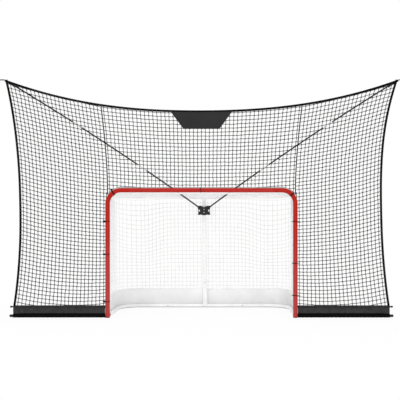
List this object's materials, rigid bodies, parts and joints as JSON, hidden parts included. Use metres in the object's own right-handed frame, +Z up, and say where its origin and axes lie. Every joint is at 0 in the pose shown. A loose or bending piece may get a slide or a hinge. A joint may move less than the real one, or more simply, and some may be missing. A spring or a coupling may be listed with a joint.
{
  "type": "hockey goal net",
  "caption": "Street hockey goal: red posts and crossbar, white rear frame and net, and a wide black backstop net spread by two flexible poles, with skirts beside the posts.",
  "frame": {"origin": "floor level, at the middle of the whole part's width and depth", "axes": "+X to the right seen from in front of the goal mouth, +Y from the mouth to the back of the goal, +Z up"},
  "size_m": [3.94, 0.7727, 2.319],
  "materials": {
    "red_enamel": "gloss",
    "white_enamel": "gloss",
    "zinc_steel": "satin",
    "button_chrome": "polished",
    "spring_steel": "satin",
    "pole_black": "satin",
    "ferrule_metal": "satin",
    "hub_plastic": "matte",
    "cap_plastic": "matte",
    "arm_tube": "satin",
    "net_black": "knotted cord",
    "tape_black": "webbing",
    "skirt_cloth": "coated weave",
    "banner_cloth": "coated weave",
    "strap_black": "webbing",
    "net_white": "knotted cord",
    "pad_cloth": "coated weave"
  },
  "bodies": {
    "goal_frame": {"left_post": "red_enamel", "right_post": "red_enamel", "crossbar": "red_enamel", "foot_cap_left": "cap_plastic", "foot_cap_right": "cap_plastic", "base_rail_left": "white_enamel", "base_rail_right": "white_enamel", "base_rail_center": "white_enamel", "center_post": "white_enamel", "top_rail_left": "white_enamel", "top_rail_right": "white_enamel", "top_rail_center": "white_enamel", "frame_screws": "zinc_steel", "snap_springs": "spring_steel", "pole_hub": "hub_plastic", "hub_bolts": "zinc_steel", "pole_left_inner": "pole_black", "pole_left_middle": "pole_black", "pole_left_outer": "pole_black", "pole_right_inner": "pole_black", "pole_right_middle": "pole_black", "pole_right_outer": "pole_black", "pole_ferrules": "ferrule_metal", "pole_tips": "cap_plastic", "backstop_net_left": "net_black", "backstop_net_center": "net_black", "backstop_net_right": "net_black", "binding_top": "tape_black", "binding_left": "tape_black", "binding_right": "tape_black", "seam_tapes": "tape_black", "banner": "banner_cloth", "skirt_left": "skirt_cloth", "skirt_right": "skirt_cloth", "arm_upper_left": "arm_tube", "arm_upper_right": "arm_tube", "arm_lower_left": "arm_tube", "arm_lower_right": "arm_tube", "arm_end_caps": "cap_plastic", "corner_pocket_left": "tape_black", "corner_pocket_right": "tape_black", "corner_tabs": "strap_black", "frame_straps": "strap_black", "goal_net_back": "net_white", "goal_net_left": "net_white", "goal_net_right": "net_white", "goal_net_corner_left": "net_white", "goal_net_corner_right": "net_white", "goal_net_top": "net_white", "base_pad_back": "pad_cloth", "base_pad_left": "pad_cloth", "base_pad_right": "pad_cloth", "base_pad_corner_left": "pad_cloth", "base_pad_corner_right": "pad_cloth"},
    "button_bar_left": {"snap_button_bar_left": "button_chrome"},
    "button_bar_right": {"snap_button_bar_right": "button_chrome"},
    "button_base_left": {"snap_button_base_left": "button_chrome"},
    "button_base_right": {"snap_button_base_right": "button_chrome"},
    "button_post": {"snap_button_post": "button_chrome"}
  },
  "joints": [
    {"name": "press_bar_left", "type": "slide", "parent": "goal_frame", "child": "button_bar_left", "axis": [0, -0.7071, 0.7071], "range_m": [0, 0.0055], "stiffness_N_per_m": 1500, "deforming": ["snap_springs"]},
    {"name": "press_bar_right", "type": "slide", "parent": "goal_frame", "child": "button_bar_right", "axis": [0, -0.7071, 0.7071], "range_m": [0, 0.0055], "stiffness_N_per_m": 1500, "deforming": ["snap_springs"]},
    {"name": "press_base_left", "type": "slide", "parent": "goal_frame", "child": "button_base_left", "axis": [0, 1, 0], "range_m": [0, 0.0055], "stiffness_N_per_m": 1500, "deforming": ["snap_springs"]},
    {"name": "press_base_right", "type": "slide", "parent": "goal_frame", "child": "button_base_right", "axis": [0, 1, 0], "range_m": [0, 0.0055], "stiffness_N_per_m": 1500, "deforming": ["snap_springs"]},
    {"name": "press_post", "type": "slide", "parent": "goal_frame", "child": "button_post", "axis": [0, 0.9829, 0.1839], "range_m": [0, 0.007], "stiffness_N_per_m": 1500, "deforming": ["snap_springs"]}
  ]
}
